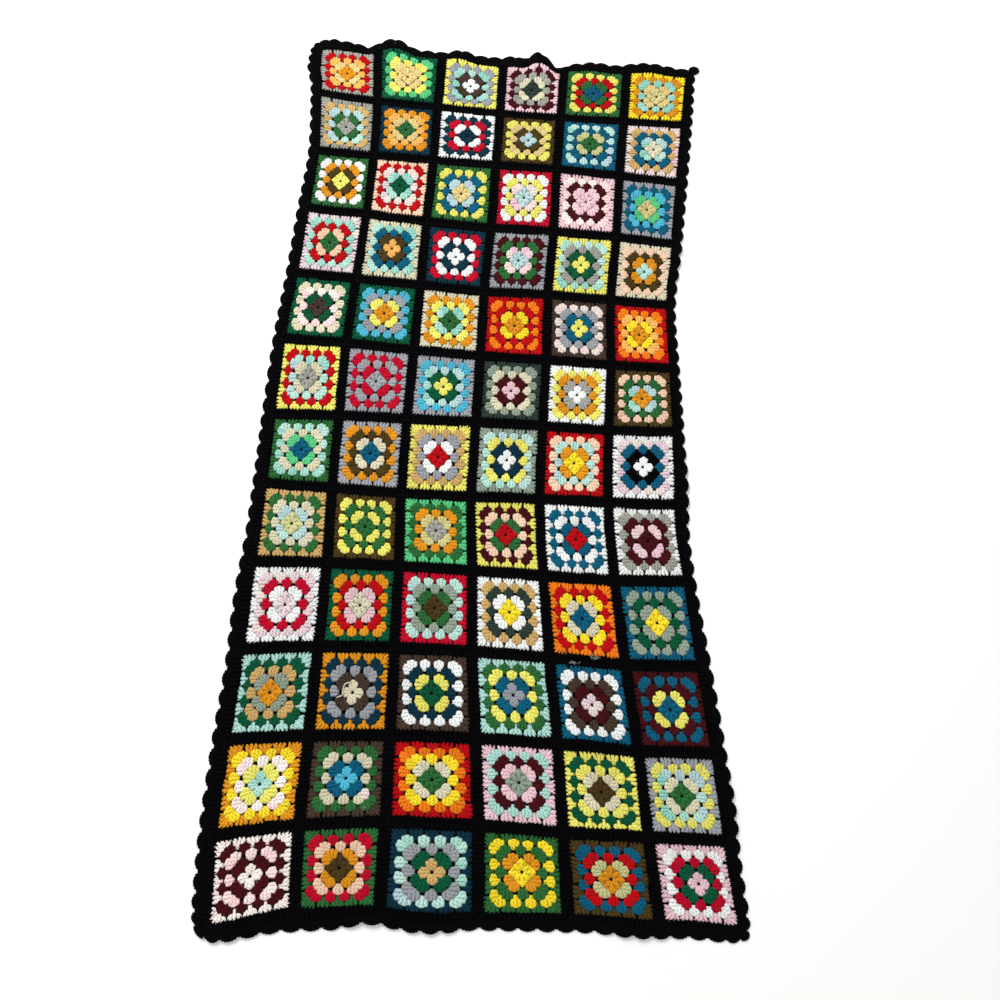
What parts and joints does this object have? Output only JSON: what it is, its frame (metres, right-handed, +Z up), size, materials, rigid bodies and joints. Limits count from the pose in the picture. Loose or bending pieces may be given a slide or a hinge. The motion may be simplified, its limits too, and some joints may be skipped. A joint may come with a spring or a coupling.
{
  "type": "granny square blanket",
  "caption": "Crocheted granny square blanket lying open: multicoloured squares joined with black into strips, with a black shell edging all round.",
  "frame": {"origin": "on the surface the blanket lies on, under the middle of its outline", "axes": "+Y along the length to the far end (strip_01), +X across the width to the right, +Z up out of the surface"},
  "size_m": [0.9438, 1.8602, 0.0144],
  "materials": {
    "coloured_yarn": "matte worsted acrylic yarn in many colours, treble crochet clusters",
    "black_yarn": "matte black worsted acrylic yarn, double crochet joins and shells"
  },
  "bodies": {
    "root": {"strip_01": "coloured_yarn", "strip_02": "coloured_yarn", "strip_03": "coloured_yarn", "strip_04": "coloured_yarn", "strip_05": "coloured_yarn", "strip_06": "coloured_yarn", "strip_07": "coloured_yarn", "strip_08": "coloured_yarn", "strip_09": "coloured_yarn", "strip_10": "coloured_yarn", "strip_11": "coloured_yarn", "strip_12": "coloured_yarn", "edging": "black_yarn"}
  },
  "joints": []
}
